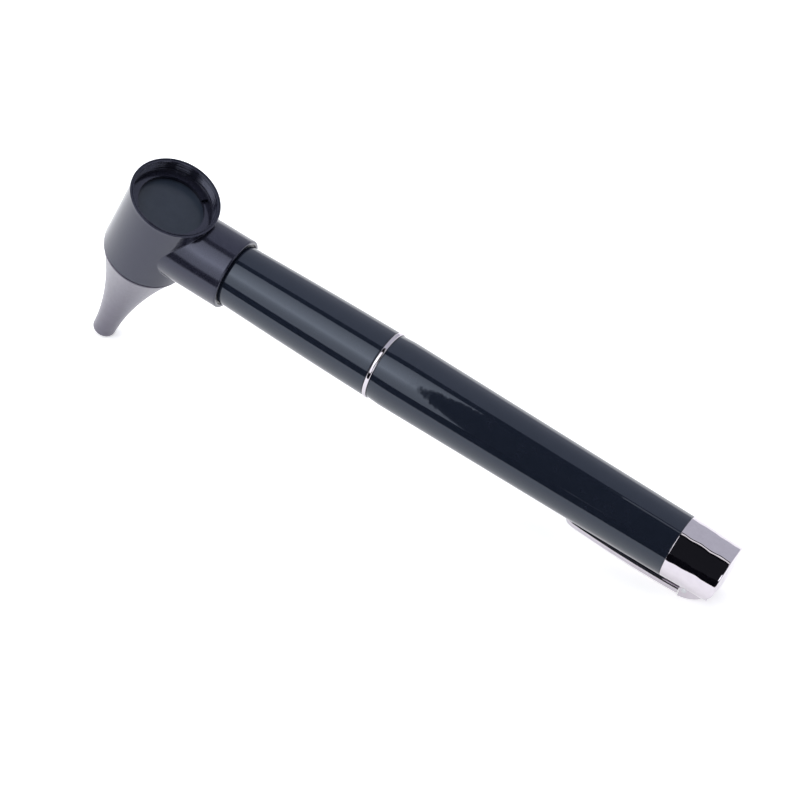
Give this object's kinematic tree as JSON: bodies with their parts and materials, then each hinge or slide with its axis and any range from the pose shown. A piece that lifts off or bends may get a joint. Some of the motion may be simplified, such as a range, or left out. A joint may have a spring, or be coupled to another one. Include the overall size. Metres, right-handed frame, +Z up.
{
  "type": "otoscope",
  "caption": "Pen-style otoscope: short black head with threaded eyepiece and conical ear speculum, set across a glossy torch handle with chrome ring, tail cap and pocket clip.",
  "frame": {"origin": "on the table under the middle of the object's footprint, z = 0 at the plane that the speculum's tip and the tail cap's heel touch", "axes": "+X along the handle from the head to the tail cap, +Z up from the table, +Y to the side; the object mirrors in y = 0"},
  "size_m": [0.1543, 0.0194, 0.0513],
  "materials": {
    "head_black": "satin moulded",
    "tip_black": "satin moulded",
    "barrel_black": "polished blue-black lacquer",
    "chrome": "bright plating",
    "lens_glass": "polished",
    "clear_acrylic": "polished",
    "gasket_rubber": "matt",
    "white_plastic": "moulded",
    "grey_plastic": "moulded",
    "brass": "turned",
    "steel": "drawn",
    "cell_sleeve": "shrink-wrapped cell"
  },
  "bodies": {
    "handle": {"lower_barrel": "barrel_black", "mid_ring": "chrome", "coupling_sleeve": "brass", "barrel_liner": "steel", "tail_plug": "white_plastic", "tail_contact": "brass", "tail_spring": "steel", "tail_cap": "chrome", "clip_pin": "steel"},
    "front_half": {"upper_barrel": "barrel_black", "lamp": "clear_acrylic", "lamp_base": "brass", "lamp_socket": "white_plastic", "lamp_contact": "brass"},
    "cells": {"battery_front": "cell_sleeve", "battery_rear": "cell_sleeve"},
    "bush": {"neck_bush": "grey_plastic"},
    "head": {"head_shell": "head_black", "lens_gasket": "gasket_rubber", "nose_cone": "head_black", "light_guide": "clear_acrylic"},
    "lens": {"eyepiece_lens": "lens_glass"},
    "retainer": {"lens_ring": "head_black"},
    "ear_tip": {"speculum": "tip_black"},
    "clip": {"pocket_clip": "chrome", "switch_contact": "brass"}
  },
  "joints": [
    {"name": "barrel_open", "type": "slide", "parent": "handle", "child": "front_half", "axis": [-0.9771, 0, 0.2127], "range_m": [0, 0.06]},
    {"name": "cells_out", "type": "slide", "parent": "handle", "child": "cells", "axis": [-0.9771, 0, 0.2127], "range_m": [0, 0.036]},
    {"name": "head_pull", "type": "slide", "parent": "front_half", "child": "bush", "axis": [-0.9771, 0, 0.2127], "range_m": [0, 0.02]},
    {"name": "head_turn", "type": "hinge", "parent": "bush", "child": "head", "pos_m": [-0.05827, 0, 0.0371], "axis": [0.9771, 0, -0.2127], "continuous": true},
    {"name": "retainer_out", "type": "slide", "parent": "head", "child": "retainer", "axis": [0.4176, 0, 0.9086], "range_m": [0, 0.012]},
    {"name": "lens_out", "type": "slide", "parent": "head", "child": "lens", "axis": [0.4176, 0, 0.9086], "range_m": [0, 0.006]},
    {"name": "speculum_off", "type": "slide", "parent": "head", "child": "ear_tip", "axis": [-0.4176, 0, -0.9086], "range_m": [0, 0.02]},
    {"name": "clip_press", "type": "hinge", "parent": "handle", "child": "clip", "pos_m": [0.06839, 0, 0.00215], "axis": [0, 1, 0], "range_deg": [-5, 1.4], "stiffness_Nm_per_rad": 1}
  ],
  "couplings": [
    {"joint": "cells_out", "follows": "barrel_open", "ratio": 0.6},
    {"joint": "lens_out", "follows": "retainer_out", "ratio": 0.5}
  ]
}
